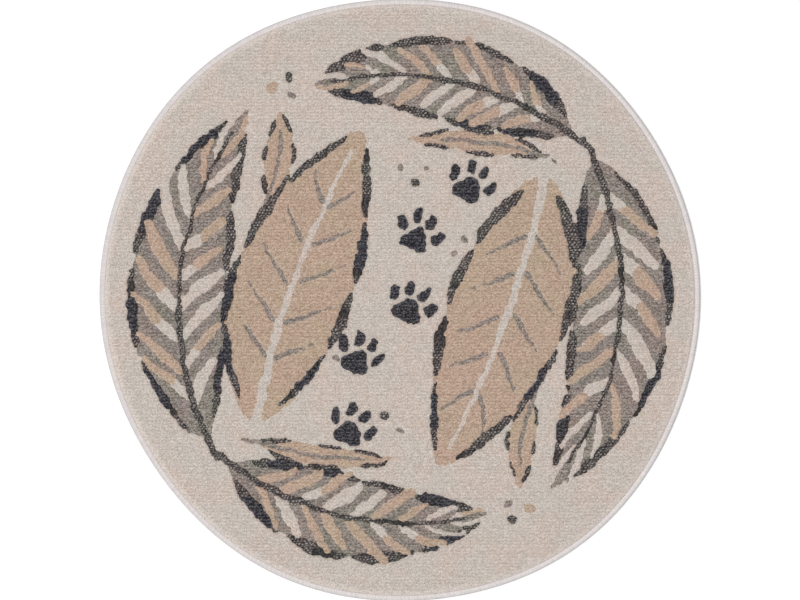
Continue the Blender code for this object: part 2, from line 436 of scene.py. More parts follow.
def sweepPath(leaf, start, side, reachFrom, reachTo, count):
    # from the midrib out towards the edge, leaning to the tip
    path = []
    for reach in np.linspace(reachFrom, reachTo, count):
        along = min(start + blade["sweep"] * reach, blade["end"])
        path.append(leafPoint(leaf, along, side * reach))
    return path


def paintBlade(leaf, zone):
    middle = leafPath(leaf, 0, 1, blade["stations"])
    edge = leafPath(leaf, 0, 1, blade["stations"], across=1)
    paintStroke(middle, [math.dist(*pair) for pair in zip(edge, middle)], zone)


def paintMidrib(leaf, halfWidth, zone):
    stations = np.linspace(blade["ribFrom"], blade["ribTo"], blade["ribStations"])
    halves = [halfWidth * (1 - blade["ribThinning"] * max(along, 0)) for along in stations]
    paintStroke([leafPoint(leaf, along, 0) for along in stations], halves, zone)


leafLine = {
    "dashes": 4, "from": 0.03, "to": 0.97, "break": 0.035, "stray": 0.012,
    "halves": (0.0028, 0.0058, 0.0070, 0.0072, 0.0066, 0.0054, 0.0026),
    "heavy": 1.32, "heavySpread": 0.25,
    "solidAbove": -0.35,  # how seldom a dash is solid charcoal for a part of its length
    "solidParts": (2, 6),
}


def paintLine(leaf, seed):
    length = (leafLine["to"] - leafLine["from"]) / leafLine["dashes"]
    for side, dash, number in numbered(leafLine["dashes"], seed):
        heavy = leafLine["heavy"] * (1 + leafLine["heavySpread"] * uneven(number + 11))
        halves = [half * heavy for half in leafLine["halves"]]
        start = leafLine["from"] + length * dash + leafLine["break"] / 2 + leafLine["stray"] * uneven(number)
        path = leafPath(leaf, start, start + length - leafLine["break"], len(halves), side)
        paintStroke(path, halves, loops)
        if uneven(number + 23) > leafLine["solidAbove"]:
            first, last = leafLine["solidParts"]
            solid = slice(first - dash % 2, last - dash % 2)
            paintStroke(path[solid], halves[solid], charcoal)


frond = {
    "pairs": 9, "from": 0.05, "to": 0.89, "startStray": 0.12, "midrib": 0.0065,
    "reach": 0.86, "reachSpread": 0.12, "longReach": 1.10,
    "longAbove": 0.60,  # how seldom a leaflet runs out past the leaf's line
    "halfShare": 0.205,  # a leaflet's half width, of the leaflets' pitch
    "widthSpread": 0.2, "thinFrom": 0.92,
    "parts": 7, "slim": 0.45, "belly": 0.60, "bellyFrom": 0.10, "bellyStep": 0.13,
    "tanAbove": 0.55,  # how seldom a leaflet is woven in tan
    "tipAbove": 0.25,  # and how seldom a cream one has a tan tip
    "tipFrom": 3, "tipFray": 0.005,
}


def leafletHalves(fullest):
    # slim at the midrib, fullest half way out
    turns = [frond["bellyFrom"] + frond["bellyStep"] * part for part in range(frond["parts"])]
    return [fullest * (frond["slim"] + frond["belly"] * math.sin(math.pi * turn)) for turn in turns]


def paintFrond(leaf, seed):
    paintBlade(leaf, ground)
    paintLine(leaf, seed)
    step = (frond["to"] - frond["from"]) / frond["pairs"]
    widest = step * math.dist(leaf["base"], leaf["tip"]) * frond["halfShare"]
    for side, pair, number in numbered(frond["pairs"], seed):
        start = frond["from"] + step * (pair + 0.5 + frond["startStray"] * uneven(number + 3))
        reach = frond["reach"] + frond["reachSpread"] * uneven(number + 21)
        if uneven(number + 5) > frond["longAbove"]:
            reach = frond["longReach"]
        slender = math.sqrt(math.sin(math.pi * min(start + blade["sweep"], frond["thinFrom"])))
        spread = 1 + frond["widthSpread"] * uneven(number + 17)
        halves = leafletHalves(widest * slender * spread)
        path = sweepPath(leaf, start, side, 0.0, reach, len(halves))
        if uneven(number + 9) > frond["tanAbove"]:
            paintStroke(path, halves, tan)
            continue
        paintStroke(path, halves, cream)
        if uneven(number + 31) > frond["tipAbove"]:
            tip = frond["tipFrom"]
            paintStroke(path[tip:], halves[tip:], tan, frond["tipFray"], over=cream)
    paintMidrib(leaf, frond["midrib"], loops)


broad = {
    "veinPairs": 5, "from": 0.10, "to": 0.78, "startStray": 0.12, "midrib": 0.0090,
    "veinFrom": 0.12, "veinTo": 0.76, "veinSpread": 0.07,
    "veinHalves": (0.0050, 0.0042, 0.0030, 0.0014),
}


def paintBroadLeaf(leaf, seed):
    paintBlade(leaf, tan)
    paintLine(leaf, seed)
    halves = broad["veinHalves"]
    step = (broad["to"] - broad["from"]) / broad["veinPairs"]
    for side, pair, number in numbered(broad["veinPairs"], seed):
        start = broad["from"] + step * (pair + 0.5 + broad["startStray"] * uneven(number))
        reach = broad["veinTo"] + broad["veinSpread"] * uneven(number + 7)
        path = sweepPath(leaf, start, side, broad["veinFrom"], reach, len(halves))
        paintStroke(path, halves, ground)
    paintMidrib(leaf, broad["midrib"], cream)


small = {
    "dashes": 3, "dashFrom": 0.16, "dashStray": 0.12, "dashShare": 0.62,
    "dashHalf": 0.0042, "dashTapers": (0.5, 1, 1, 1, 0.4),
    "ribFrom": -0.10, "ribTo": 0.80, "ribHalf": 0.0038, "ribTapers": (1, 1, 1, 1, 1, 1, 0.4),
}


def paintSmallLeaf(leaf, seed):
    paintBlade(leaf, tan)
    length = 1 / small["dashes"]
    halves = [taper * small["dashHalf"] for taper in small["dashTapers"]]
    for side, dash, number in numbered(small["dashes"], seed):
        start = length * (dash + small["dashFrom"] + small["dashStray"] * uneven(number))
        end = start + small["dashShare"] * length
        paintStroke(leafPath(leaf, start, end, len(halves), side), halves, loops)
    halves = [taper * small["ribHalf"] for taper in small["ribTapers"]]
    path = leafPath(leaf, small["ribFrom"], small["ribTo"], len(halves))
    paintStroke(path, halves, ground)


sprig = (  # what paints each leaf, its base and tip, its bend as a share of its length, and its half width
    (paintFrond, (-0.385, -0.275), (-0.300, 0.375), 0.145, 0.095),
    (paintFrond, (-0.335, -0.330), (0.175, -0.425), -0.115, 0.078),
    (paintBroadLeaf, (-0.285, -0.235), (-0.075, 0.335), 0.040, 0.118),
    (paintSmallLeaf, (-0.262, 0.205), (-0.240, 0.375), -0.06, 0.028),
    (paintSmallLeaf, (0.285, 0.284), (0.010, 0.316), -0.05, 0.021),
)
pebbles = (  # middle, radius and yarn
    ((-0.255, 0.418), 0.0120, tan),
    ((-0.220, 0.440), 0.0090, loops),
    ((-0.214, 0.408), 0.0075, ground),
    ((0.030, 0.232), 0.0085, loops),
    ((0.052, 0.262), 0.0065, ground),
    ((0.000, 0.262), 0.0065, ground),
    ((0.128, 0.118), 0.0075, ground),
    ((0.106, 0.092), 0.0060, ground),
)
sprigTurnsDeg = (0, 180)


def turnPoint(point, degrees):
    cosine, sine = math.cos(math.radians(degrees)), math.sin(math.radians(degrees))
    return point[0] * cosine - point[1] * sine, point[0] * sine + point[1] * cosine


seed = 0
for degrees in sprigTurnsDeg:
    for paintLeaf, base, tip, bend, halfWidth in sprig:
        seed += 100
        base, tip = turnPoint(base, degrees), turnPoint(tip, degrees)
        paintLeaf({"base": base, "tip": tip, "bend": bend, "halfWidth": halfWidth}, seed)
    for middle, radius, zone in pebbles:
        middle = turnPoint(middle, degrees)
        paintStroke([middle, middle], [radius, radius], zone)
print("leaves woven:", seed // 100, "and pebbles:", len(pebbles) * len(sprigTurnsDeg))

paws = {
    "size": 0.084,
    "headingDeg": 64,
    "strides": (-0.27, -0.135, 0.0, 0.135, 0.27),
    "sideStep": 0.024,
    "toes": (  # place and lean, in shares of the paw's size, as are the measures below
        (-0.47, 0.07, 0.45),
        (-0.175, 0.36, 0.12),
        (0.175, 0.36, -0.12),
        (0.47, 0.07, -0.45),
    ),
    "toeBack": 0.07, "toeFront": 0.08, "toeHalves": (0.118, 0.10),
    "pad": (  # round-ended strokes that make it up, each from, to and half widths
        ((-0.20, -0.27), (0.0, -0.06), (0.155, 0.20)),
        ((0.20, -0.27), (0.0, -0.06), (0.155, 0.20)),
        ((-0.16, -0.30), (0.16, -0.30), (0.14, 0.14)),
    ),
}


def paintPaw(x, y):
    size, parts = paws["size"], list(paws["pad"])
    for across, up, lean in paws["toes"]:
        aside = paws["toeBack"] * math.sin(lean)
        heel, tip = (across + aside, up - paws["toeBack"]), (across - aside, up + paws["toeFront"])
        parts.append((heel, tip, paws["toeHalves"]))
    for start, end, halves in parts:
        path = []
        for across, up in (start, end):
            turned = turnPoint((across * size, up * size), paws["headingDeg"] - 90)
            path.append((x + turned[0], y + turned[1]))
        paintStroke(path, [half * size for half in halves], charcoal)


for number, stride in enumerate(paws["strides"]):
    sideStep = paws["sideStep"] if number % 2 else -paws["sideStep"]
    paintPaw(*turnPoint((stride, sideStep), paws["headingDeg"]))
print("paw prints woven:", len(paws["strides"]))


def settleTufts():
    # a tuft that is nearly alone takes the yarn that is commonest beside it
    steps = ((-1, 0), (1, 0), (0, -1), (0, 1))
    beside = np.stack([np.roll(zoneMap, step, axis=(0, 1)) for step in steps])
    counts = np.stack([(beside == zone).sum(axis=0) for zone in range(charcoal + 1)])
    own = (beside == zoneMap).sum(axis=0)
    return np.where(own < grid["leastBeside"], counts.argmax(axis=0), zoneMap)


for _ in range(grid["settlings"]):
    zoneMap = settleTufts()


# Heights: cut pile stands over the looped line, and both over the flat-woven ground

pile = {  # the first four go by yarn: cream, tan, ground, loops, charcoal
    "top": (pileTop, pileTop, 0.0071, 0.0084, pileTop - 0.0001),
    "rise": (0.0004, 0.0004, 0.0001, 0.0004, 0.0004),
    "rib": (0.0001, 0.0001, 0.0001, 0.0, 0.0001),
    "sway": (0.28, 0.28, 0.10, 0.20, 0.28),  # in shares of the pitch
    "rowsToRib": 3,
    "swell": 0.0002, "swellSize": 0.05,
    "flush": 0.0003,  # yarns this close in height meet without a step
    "rounding": 0.40,  # how much of a step the tufts at its edge round off
    "ease": 0.45, "easePasses": 2,  # how far corners on a yarn's line move to their neighbours there
    "skirt": 0.0004,  # the side of a step runs down this far behind the lower yarn
    "fadeFrom": 0.0105, "fadeOver": 0.003,
    "shoulderInset": (0.0104, 0.0112, 0.0125, 0.0150, 0.0200, 0.0280),
    "shoulderHeight": (0.0046, 0.0060, 0.0074, 0.0087, 0.0095, 0.0100),
}


def atTufts(table):
    return np.array(table)[zoneMap]


def atCorners(table):
    # the lowest value of the four tufts that meet at each corner
    padded = np.pad(atTufts(table), 1, mode="edge")
    return np.minimum.reduce([padded[:-1, :-1], padded[1:, :-1], padded[:-1, 1:], padded[1:, 1:]])


gridX, gridY = np.meshgrid(cornerLine, cornerLine)
gridRow, gridColumn = np.indices(gridX.shape)
gridInset = insetOf(gridX, gridY)
lowestTop = atCorners(pile["top"])


def easeLines(places):
    # corners on a line between two yarns move towards their neighbours on it, so it has no stairs
    across = np.pad(zoneMap[1:] != zoneMap[:-1], ((1, 1), (0, 0)))
    up = np.pad(zoneMap[:, 1:] != zoneMap[:, :-1], ((0, 0), (1, 1)))
    neighbours = (
        (np.s_[:, :-1], np.s_[:, 1:], across),
        (np.s_[:, 1:], np.s_[:, :-1], across),
        (np.s_[:-1], np.s_[1:], up),
        (np.s_[1:], np.s_[:-1], up),
    )
    for _ in range(pile["easePasses"]):
        total, count = np.zeros(places.shape), np.zeros(places.shape)
        for here, there, onLine in neighbours:
            total[here] += onLine * places[there]
            count[here] += onLine
        eased = places + pile["ease"] * (total / count.clip(1, None) - places)
        places = np.where(count == 2, eased, places)
    return places


def shapeCorners():
    # one place for each corner, and a height for each of the yarns that meet there
    fade = ((gridInset - pile["fadeFrom"]) / pile["fadeOver"]).clip(0, 1)
    drop = 2 * atCorners(pile["rise"]) * rng.random(gridX.shape)
    drop = drop + atCorners(pile["rib"]) * (1 - np.cos(2 * math.pi * gridRow / pile["rowsToRib"]))
    drop = drop + pile["swell"] * (1 - lumps(gridX, gridY, pile["swellSize"], 8))
    shoulder = np.interp(gridInset, pile["shoulderInset"], pile["shoulderHeight"])
    heights = []
    for top in pile["top"]:
        step = (top - lowestTop).clip(0, None)
        step = np.where(step < pile["flush"], step, pile["rounding"] * step)
        heights.append(np.minimum(top - step, shoulder) - drop * fade)
    sway = pitch * atCorners(pile["sway"]) * fade
    shift = pitch * grid["rowShift"] * np.where(gridRow % 2, 0.5, -0.5)
    x = gridX + sway * rng.uniform(-1, 1, gridX.shape) + shift
    y = gridY + sway * rng.uniform(-1, 1, gridX.shape)
    return easeLines(x), easeLines(y), heights


cornerX, cornerY, cornerHeights = shapeCorners()
lowestHeight = np.minimum(lowestTop, np.minimum(cornerHeights[cream], cornerHeights[ground]))
tuftInset = insetOf(tuftX, tuftY)
onRug = tuftInset > grid["edgeInset"]

# Tones: how light each tuft's yarn is

shading = {
    "rib": (0.20, 0.22, 0.21, 0.0, 0.32),  # by yarn, as above
    "blend": (-1.1, -0.5, 0.35, 0.0, 0.7),  # and so is this, for stray fibres of the yarn next to it
    "blendSpread": (0.4, 1.6),
    "blendReach": 2,
    "runSpread": 0.34, "runLength": 2,  # along a row, tufts go together in short runs
    "rowSpread": 0.10,
    "ribPhase": 1.2,
    "shoulderLift": 0.50,  # the pile's sides catch more light next to the binding
    "shoulderFrom": 0.011, "shoulderTo": 0.024,
    "stepPaintedHighlight": 0.35,  # painted highlight: the yarn is made lighter along the edge of a step, where its cut side catches the light
    "sideShade": 0.60,
}
mix = {
    "dotAcross": 0.0067, "dotUp": 0.0053,
    "wander": 0.0026, "wanderSize": 0.014,
    "stray": 0.08,  # how far a dot sits out of place, in shares of its own space
    "lightTo": 0.12, "darkFrom": 0.50, "unlike": 0.10,
    "solidSize": 0.028, "solidFrom": 0.45, "solidGain": 3, "solidShade": 0.8,
    "seed": 25,
}


def dotTones(x, y):
    # light loops among dark ones, in staggered rows that wander, and some dark patches
    wanderX = x + mix["wander"] * lumps(x, y, mix["wanderSize"], 21)
    wanderY = y + mix["wander"] * lumps(x, y, mix["wanderSize"], 22)
    up = (wanderY + patternFrom) / mix["dotUp"]
    row = np.floor(up).astype(int)
    across = (wanderX + patternFrom) / mix["dotAcross"] + 0.5 * (row % 2)
    column = np.floor(across).astype(int)
    most = max(row.max(), column.max()) + 1
    source = np.random.default_rng(mix["seed"])
    aside, above, unlike = source.uniform(-1, 1, (3, most, most))[:, row, column]
    awayX = across - column - 0.5 + mix["stray"] * aside
    awayY = up - row - 0.5 + mix["stray"] * above
    dots = np.interp(np.hypot(awayX, awayY), (mix["lightTo"], mix["darkFrom"]), (1, 0))
    patches = lumps(x, y, mix["solidSize"], 24) - mix["solidFrom"]
    solid = (mix["solidGain"] * patches).clip(0, 1)
    return (dots + mix["unlike"] * unlike) * (1 - mix["solidShade"] * solid)


def nearShare(zones):
    # the share of these yarns among the tufts around each corner
    reach = shading["blendReach"]
    found = np.pad(np.isin(zoneMap, zones).astype(float), reach)
    total = np.zeros(gridX.shape)
    steps = range(2 * reach)
    for row in steps:
        for column in steps:
            total += found[row : row + total.shape[0], column : column + total.shape[1]]
    return total / len(steps) ** 2


def cornerTones():
    # how light each zone's yarn is at each corner of the grid, 0 to 1
    length, ribRows = shading["runLength"], pile["rowsToRib"]
    runs = rng.uniform(-1, 1, (cornerCount, cornerCount // length + 2))
    starts = rng.integers(0, length, cornerCount)[:, None]
    run = runs[gridRow, (gridColumn + starts) // length]
    rowTone = rng.uniform(-1, 1, cornerCount)[:, None]
    ribs = rng.random((2, cornerCount, cornerCount // length + 1))
    phases, sizes = ribs[:, gridRow // ribRows, gridColumn // length]
    turn = 2 * math.pi * gridRow / ribRows
    rib = 2 * sizes * np.cos(turn + shading["ribPhase"] * (2 * phases - 1))
    shoulder = np.interp(gridInset, (shading["shoulderFrom"], shading["shoulderTo"]), (1, 0))
    even = 0.5 + shading["runSpread"] / 2 * run + shading["rowSpread"] / 2 * rowTone
    even = even + shading["shoulderLift"] * shoulder
    tones = [even + share * rib for share in shading["rib"]]
    tones[loops] = dotTones(gridX, gridY)
    # painted highlight along the edges of steps in the cut pile
    for zone in (cream, tan):
        onStep = lowestTop < pile["top"][zone] - pile["flush"]
        tones[zone] = tones[zone] + shading["stepPaintedHighlight"] * onStep
    pale, dark = nearShare((cream, tan)), nearShare((charcoal, loops))
    stray = rng.uniform(*shading["blendSpread"], gridX.shape)
    for zone, blend in enumerate(shading["blend"]):
        tones[zone] = tones[zone] + blend * stray * (dark if zone in (cream, tan) else pale)
    return tones


tuftTone = cornerTones()


def stepSides(zone, cells):
    # where a tuft stands next to lower yarn, its side is closed down to that yarn
    edges = (  # the way to the tuft beside it, and the two corners between them
        (-1, 0, 0, 1),
        (0, 1, 1, cornerCount + 1),
        (1, 0, cornerCount + 1, cornerCount),
        (0, -1, cornerCount, 0),
    )
    sides = []
    tops = atTufts(pile["top"])
    below = cornerCount * cornerCount
    for rowStep, columnStep, start, end in edges:
        beside = np.roll(tops, (-rowStep, -columnStep), axis=(0, 1))
        rows, columns = np.nonzero(cells & (beside < pile["top"][zone] - pile["flush"]))
        first = rows * cornerCount + columns
        corners = (first + start + below, first + end + below, first + end, first + start)
        sides.append(np.column_stack(corners))
    return np.concatenate(sides)


pileYarns = {
    cream: {
        "name": "creamPile", "main": (206, 194, 185), "light": (226, 215, 207), "shade": (184, 171, 161),
        "warm": (213, 191, 179), "cool": (202, 197, 187),
        "patches": 0.6, "sheen": 0.12, "tuftSize": (0.0026, 0.0020), "tuftSpread": 0.68, "gapPaintedShade": 0.76,
    },
    tan: {
        "name": "tanPile", "main": (189, 164, 145), "light": (212, 188, 169), "shade": (163, 139, 120),
        "warm": (196, 164, 147), "cool": (187, 168, 143),
        "patches": 0.7, "sheen": 0.12, "tuftSize": (0.0026, 0.0020), "tuftSpread": 0.75, "gapPaintedShade": 0.76,
    },
    ground: {
        "name": "greigeGround", "main": (146, 136, 129), "light": (183, 172, 164), "shade": (102, 94, 88),
        "warm": (149, 131, 124), "cool": (137, 133, 121),
        "patches": 0.9, "sheen": 0.04, "tuftSize": (0.0026, 0.0020), "tuftSpread": 0.75, "gapPaintedShade": 0.72,
    },
    loops: {
        "name": "charcoalMixLoops", "main": (105, 98, 95), "light": (184, 175, 171), "shade": (48, 45, 47),
        "warm": (106, 94, 89), "cool": (97, 97, 88),
        "patches": 0.8, "sheen": 0.03, "tuftSize": (0.0025, 0.0024), "tuftSpread": 0.60, "gapPaintedShade": 0.66,
    },
    charcoal: {
        "name": "charcoalPile", "main": (58, 56, 60), "light": (104, 102, 107), "shade": (25, 24, 28),
        "warm": (60, 57, 57), "cool": (54, 53, 62),
        "patches": 0.8, "sheen": 0.03, "tuftSize": (0.0023, 0.0020), "tuftSpread": 0.92, "gapPaintedShade": 0.66,
    },
}
pileMaterials = {zone: makePileYarn(yarn) for zone, yarn in pileYarns.items()}


def weaveZone(name, zone, inside=True):
    cells = onRug & inside & (zoneMap == zone)
    rows, columns = np.nonzero(cells)
    first = rows * cornerCount + columns
    quads = np.column_stack([first, first + 1, first + cornerCount + 1, first + cornerCount])
    quads = np.concatenate([quads, stepSides(zone, cells)])
    used, packed = np.unique(quads, return_inverse=True)
    heights = np.concatenate([cornerHeights[zone].ravel(), lowestHeight.ravel() - pile["skirt"]])
    x, y = np.tile(cornerX.ravel(), 2), np.tile(cornerY.ravel(), 2)
    points = np.column_stack([x[used], y[used], heights[used]])
    mesh = quadMesh(name, points, packed.reshape(quads.shape))
    tones = tuftTone[zone].ravel()
    # painted shade: the foot of each step's side takes a darker tone
    tones = np.concatenate([tones, tones - shading["sideShade"]])
    writeTones(mesh, tones[quads.ravel()].clip(0, 1))
    flat = points[packed.ravel(), :2] / (2 * grid["reach"] + 2 * pitch) + 0.5
    mesh.uv_layers.new(name="OFBake").data.foreach_set("uv", flat.astype(np.float32).ravel())
    print(name, len(rows), "tufts and", len(quads) - len(rows), "sides")
    return linkMesh(name, mesh, pileMaterials[zone])


inBorder = tuftInset < grid["borderInset"]
pilePieces = [
    weaveZone("pile_cream_border", cream, inBorder),
    weaveZone("pile_cream_field", cream, ~inBorder),
    weaveZone("pile_tan", tan),
    weaveZone("ground_greige", ground),
    weaveZone("line_loops", loops),
    weaveZone("pile_charcoal", charcoal),
]


# The woven back, a slab under the pile

slab = {
    "segments": 240,
    "thickness": 0.0050,
    "rim": ((0.0118, 0.0), (0.0118, 0.0015), (0.0025, 0.0015), (0.0025, 0.0050)),  # insets and heights
}


def makeBack():
    # a stepped rim that goes into the binding, closed by fans from the middle
    count = slab["segments"]
    rings = [ringPoints(inset, height, count) for inset, height in slab["rim"]]
    points = np.vstack([*rings, (0, 0, 0), (0, 0, slab["thickness"])]).tolist()
    under, over = len(points) - 2, len(points) - 1
    last = 3 * count
    faces = ringQuads(((0, 1), (1, 2), (2, 3)), count).tolist()
    faces += [[(a + 1) % count, a, under] for a in range(count)]
    faces += [[last + a, last + (a + 1) % count, over] for a in range(count)]
    mesh = bpy.data.meshes.new("rug_back")
    mesh.from_pydata(points, [], faces)
    mesh.update()
    return mesh


jute = {
    "shader": {"Roughness": 0.9, "Specular IOR Level": 0.2},
    "ribs": 84.0, "warps": 100.0,  # bands to a metre are about three times these scales
    "wander": 0.0030, "wanderScale": 38.0,  # metres that the threads stray from straight
    "waver": 1.6, "slubScale": 130.0, "thinner": -0.22, "thicker": 0.16,
    "hollow": (108, 92, 72), "shade": (158, 139, 112), "thread": (196, 179, 153),
    "shadeAt": (0.30, 0.60), "threadAt": (0.60, 1.05),  # heights in the weave that these tones set in over
    "patchScale": 9.0, "patches": (0.88, 1.10), "fibreScale": 1100.0, "fibres": (0.80, 1.18),
    "relief": 0.8, "reliefDepth": 0.0006,
}


def addThread(tree, place, direction, scale):
    # threads one way, about 1 along their middles, and some of them thinner
    inputs = {"Vector": place, "Scale": scale, "Distortion": jute["waver"], "Detail": 3.0}
    inputs["Detail Scale"] = 0.5
    bands = addNode(tree, "ShaderNodeTexWave", inputs, bands_direction=direction)["Fac"]
    slub = addNoise(tree, place, jute["slubScale"])["Fac"]
    slub = addRange(tree, slub, 0.35, 0.65, jute["thinner"], jute["thicker"])
    return addMath(tree, "ADD", bands, slub)


def makeBackMaterial():
    # slubby jute threads crossing, with painted shade darkening the hollows between them
    material, tree, shader = startMaterial("wovenBack", jute["shader"])
    place = addPlace(tree)
    aside = addNoise(tree, place, jute["wanderScale"], 3.0)
    wandering = addWander(tree, place, aside, jute["wander"])
    ribs = addThread(tree, wandering, "Y", jute["ribs"])
    warps = addThread(tree, wandering, "X", jute["warps"])
    weave = addMath(tree, "MAXIMUM", ribs, warps)
    # painted shade: the colour is darkest where the weave is lowest
    colour = fromScreenTone(*jute["hollow"])
    for tone in ("shade", "thread"):
        share = addRange(tree, weave, *jute[tone + "At"])
        colour = addMix(tree, share, colour, fromScreenTone(*jute[tone]))
    patch = spreadNoise(tree, addNoise(tree, place, jute["patchScale"], 4.0)["Fac"], *jute["patches"])
    fibre = addNoise(tree, place, jute["fibreScale"], 4.0, 0.72)["Fac"]
    fibre = spreadNoise(tree, fibre, *jute["fibres"])
    toned = addVectorMath(tree, "SCALE", colour, addMath(tree, "MULTIPLY", patch, fibre))
    relief = addRelief(tree, addMath(tree, "ADD", weave, fibre), jute)
    setInputs(tree, shader, {"Base Color": toned, "Normal": relief})
    return material


rugBack = linkMesh("rug_back", makeBack(), makeBackMaterial())
print("woven back made")


# The binding: a core channel, overlocked yarn wrapped over it, and a row of stitches inside it

binding = {
    "segments": 360, "guideSegments": 720, "flankSteps": 8,
    "reach": 0.0112, "height": bindingTop, "under": 0.0012, "over": 0.0014, "outside": 0.0022,
    "coreSink": 0.0004,  # the core lies this far inside the wraps
    "coreSlope": (0.0022, 0.0008),  # its top slopes down to its inner end between these
    "plyLength": 0.0024, "plies": 2, "toneSpread": 0.10,
    "flankInset": 0.0058,  # outside this the yarn is painted ever darker towards the edge, a painted shade on its outer side
    "flankShade": 0.62,
}
bindingTones = {
    "name": "bindingYarn",
    "main": (229, 222, 220), "light": (238, 232, 229), "shade": (196, 191, 190),
    "warm": (228, 221, 214), "cool": (226, 218, 222), "patches": 0.5, "sheen": 0.10,
}
wrap = {  # one turn of overlock yarn, from the top round the outside and under
    "reach": 0.0109,
    "rise": ((0.0, 0.0014), (0.0007, 0.0010), (0.0020, 0.0)),  # where it comes up: inwards, and below the top
    "tail": 0.0004, "flankSteps": 6,
    "width": 0.0024, "thick": 0.0010, "sides": 5, "inset": 0.0, "lift": 0.0,
    "pitch": 0.0021, "lean": 0.16, "stray": 0.05, "seed": 12, "toneSeed": 3,
}
seam = {  # the needle thread that holds the wraps' inner ends
    "length": 0.0037, "dip": 0.0011, "dipPower": 2.5, "tapers": (0.5, 0.85, 1.0, 1.0, 1.0, 0.85, 0.5),
    "width": 0.0012, "thick": 0.0009, "sides": 6, "inset": 0.0104, "lift": bindingTop - 0.0005,
    "pitch": 0.0036, "lean": math.pi / 2, "stray": 0.10, "seed": 13, "toneSeed": 4,
}


def flankArc(radius, steps):
    # round the binding's outside from below to above, as (inset, height) points
    half = binding["height"] / 2
    turns = [math.pi * step / steps for step in range(steps + 1)]
    return [(half - radius * math.sin(turn), half - radius * math.cos(turn)) for turn in turns]


def makeCore():
    # one section of (inset, height) points, carried once round the rug's edge
    sink = binding["coreSink"]
    slopeFrom, slopeTo = binding["coreSlope"]
    ceiling = binding["height"] - 1.5 * binding["over"]
    section = [
        (binding["reach"], sink),
        *flankArc(binding["height"] / 2 - sink, binding["flankSteps"]),
        (wrap["reach"] - slopeFrom, binding["height"] - sink),
        (wrap["reach"] - slopeTo, binding["height"] - binding["over"]),
        (binding["reach"], ceiling),
        (binding["outside"], ceiling),
        (binding["outside"], binding["under"]),
        (binding["reach"], binding["under"]),
    ]
    rings = [ringPoints(inset, height, binding["segments"]) for inset, height in section]
    pairs = [(ring, (ring + 1) % len(rings)) for ring in range(len(rings))]
    return quadMesh("binding_core", np.concatenate(rings), ringQuads(pairs, binding["segments"]))


bindingYarn = makeBindingYarn(bindingTones)
bindingCore = linkMesh("binding_core", makeCore(), bindingYarn)


def tubeMesh(name, path, stitch):
    # a flattened tube in the plane of x and z, wider along y, mapped along and once round
    path = np.asarray(path, float)
    count, sides = len(path), stitch["sides"]
    run = np.gradient(path, axis=0)
    run /= np.linalg.norm(run, axis=1)[:, None]
    out = np.column_stack([run[:, 1], -run[:, 0]])
    tapers = np.reshape(stitch.get("tapers", [1.0] * count), (-1, 1))
    angles = 2 * math.pi * np.arange(sides) / sides
    lift = tapers * stitch["thick"] / 2 * np.cos(angles)
    aside = tapers * stitch["width"] / 2 * np.sin(angles)
    points = np.stack([path[:, :1] + out[:, :1] * lift, aside, path[:, 1:] + out[:, 1:] * lift], axis=2)
    faces = ringQuads([(ring, ring + 1) for ring in range(count - 1)], sides).tolist()
    faces += [list(range(sides))[::-1], list(range((count - 1) * sides, count * sides))]
    lengths = np.linalg.norm(np.diff(path, axis=0), axis=1)
    along = np.concatenate([[0], np.cumsum(lengths)]) / binding["plyLength"]
    twist = []
    for ring in range(count - 1):
        for side in range(sides):
            for beyond, beside in ((0, 0), (0, 1), (1, 1), (1, 0)):
                twist.append((along[ring + beyond], binding["plies"] * (side + beside) / sides))
    twist += [(0.0, 0.0)] * (2 * sides)
    mesh = bpy.data.meshes.new(name)
    mesh.from_pydata(points.reshape(-1, 3).tolist(), [], faces)
    mesh.shade_smooth()
    mesh.uv_layers.new(name="yarnTwist").data.foreach_set("uv", np.ravel(twist).astype(np.float32))
    mesh.update()
    return mesh


def wrapPath():
    # over the top, round the outside and under, with x outwards from the rug's edge
    lift = wrap["thick"] / 2
    path = [(inwards - wrap["reach"], binding["height"] - below - lift) for inwards, below in wrap["rise"]]
    arc = flankArc(binding["height"] / 2 - lift, wrap["flankSteps"])
    path += [(-inset, height) for inset, height in reversed(arc)]
    return [*path, (wrap["tail"] - binding["reach"], lift)]


def seamPath():
    # one stitch lies along the edge, and its ends go down into the cloth
    shares = np.linspace(-1, 1, len(seam["tapers"]))
    return [(seam["length"] / 2 * share, -seam["dip"] * abs(share) ** seam["dipPower"]) for share in shares]


